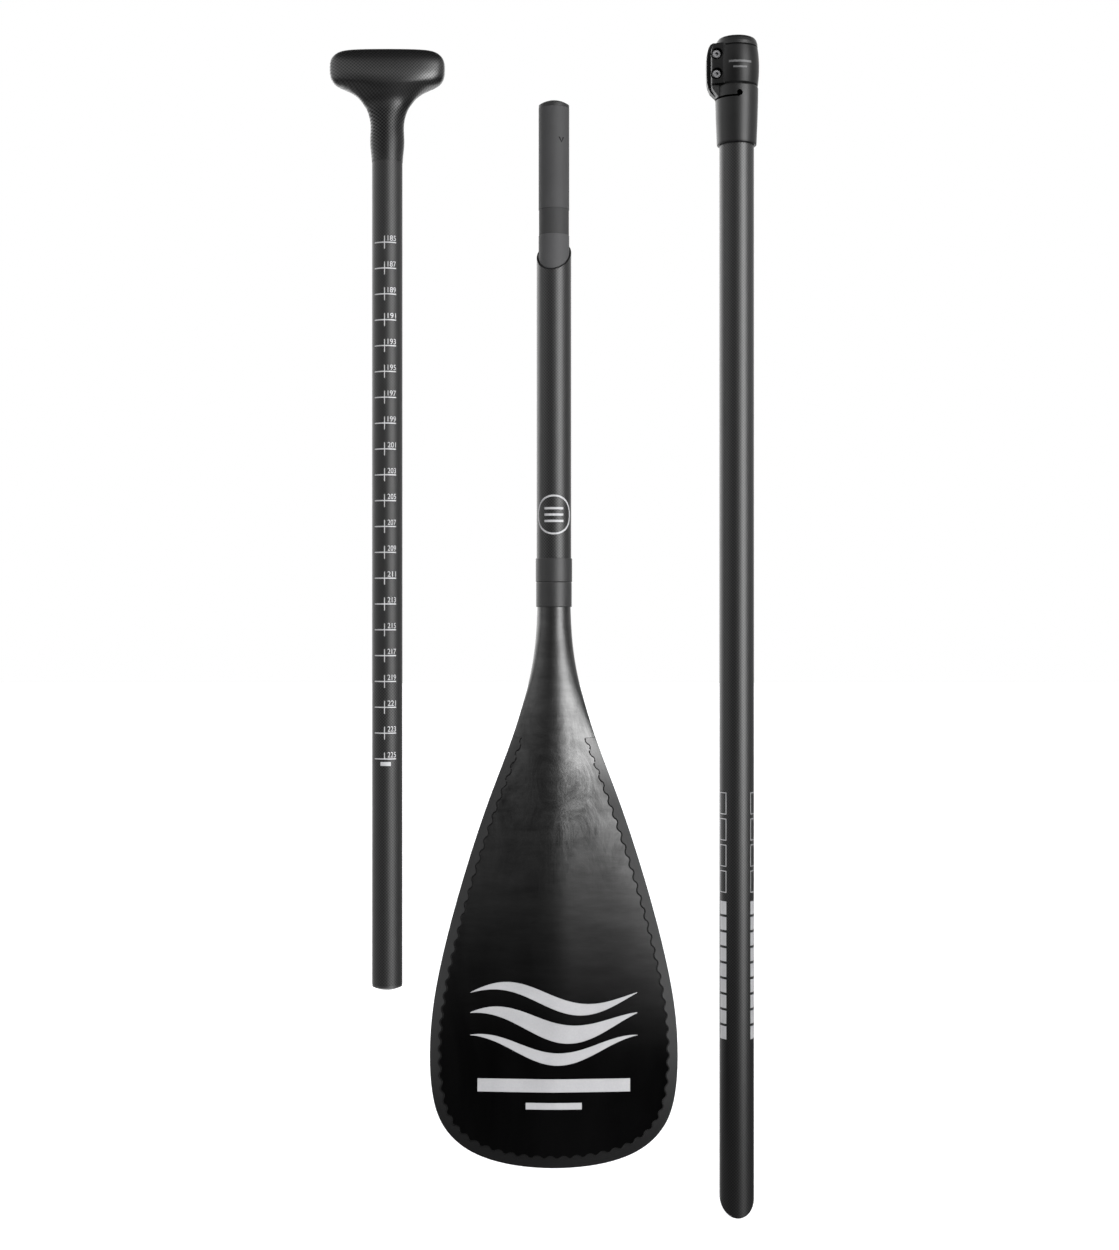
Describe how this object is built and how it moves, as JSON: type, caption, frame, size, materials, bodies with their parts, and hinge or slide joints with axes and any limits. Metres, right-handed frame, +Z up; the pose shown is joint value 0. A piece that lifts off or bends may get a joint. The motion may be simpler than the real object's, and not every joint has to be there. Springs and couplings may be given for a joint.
{
  "type": "single blade paddle",
  "caption": "Adjustable stand-up paddle in three sections: T-grip on a scaled upper shaft, a middle shaft with lever clamp, and a ferruled lower shaft with a raked teardrop blade.",
  "frame": {"origin": "on the middle shaft's axis, where its 45 degree joint cut crosses that axis", "axes": "+Z up along all three shafts, from the blade's end towards the grip and clamp; -Y is the front, the side that shows the clamp screws and towards which the blade is raked; +X runs from the handle section to the middle section"},
  "size_m": [0.3478, 0.08, 0.9505],
  "materials": {
    "carbon_shaft": "matte carbon fibre twill",
    "carbon_upper_shaft": "matte carbon fibre twill with a printed length scale",
    "carbon_grip": "satin carbon fibre twill",
    "carbon_blade": "satin to glossy carbon laminate",
    "edge_rubber": "matte moulded edge guard",
    "ferrule_grey": "matte grey moulded composite",
    "black_plug": "satin black moulding",
    "clamp_plastic": "satin black moulding",
    "lever_plastic": "satin black moulding",
    "sleeve_black": "shrunk-on black sleeve",
    "foam": null,
    "stainless": "stainless steel",
    "spring_steel": "spring steel"
  },
  "bodies": {
    "middle_section": {"middle_shaft": "carbon_shaft", "clamp_collar": "clamp_plastic", "clamp_band": "clamp_plastic", "lever_barrel_nut": "stainless", "clamp_screws": "stainless", "cam_wear_plate": "stainless"},
    "lever": {"clamp_lever": "lever_plastic"},
    "handle_section": {"grip_shell": "carbon_grip", "grip_foam_core": "foam", "upper_shaft": "carbon_upper_shaft", "upper_shaft_end_plug": "black_plug"},
    "blade_section": {"ferrule": "ferrule_grey", "ferrule_end_cap": "black_plug", "lower_shaft": "carbon_shaft", "shaft_foam_plug": "foam", "neck_sleeve": "sleeve_black", "blade_shell": "carbon_blade", "blade_foam_core": "foam", "blade_edge_guard": "edge_rubber"},
    "button": {"snap_button": "stainless", "button_leaf_spring": "spring_steel"}
  },
  "joints": [
    {"name": "clamp_lever_swing", "type": "hinge", "parent": "middle_section", "child": "lever", "pos_m": [-0.017, 0.0166, 0.914], "axis": [0, 0, 1], "range_deg": [0, 130]},
    {"name": "length_adjust", "type": "slide", "parent": "middle_section", "child": "handle_section", "axis": [0, 0, 1], "range_m": [0, 0.4]},
    {"name": "ferrule_plug_in", "type": "slide", "parent": "middle_section", "child": "blade_section", "axis": [0, 0, 1], "range_m": [0, 0.12]},
    {"name": "button_press", "type": "slide", "parent": "blade_section", "child": "button", "axis": [-0.1564, -0.9877, 0], "range_m": [0, 0.0029], "stiffness_N_per_m": 1500, "springref_m": -0.002}
  ]
}
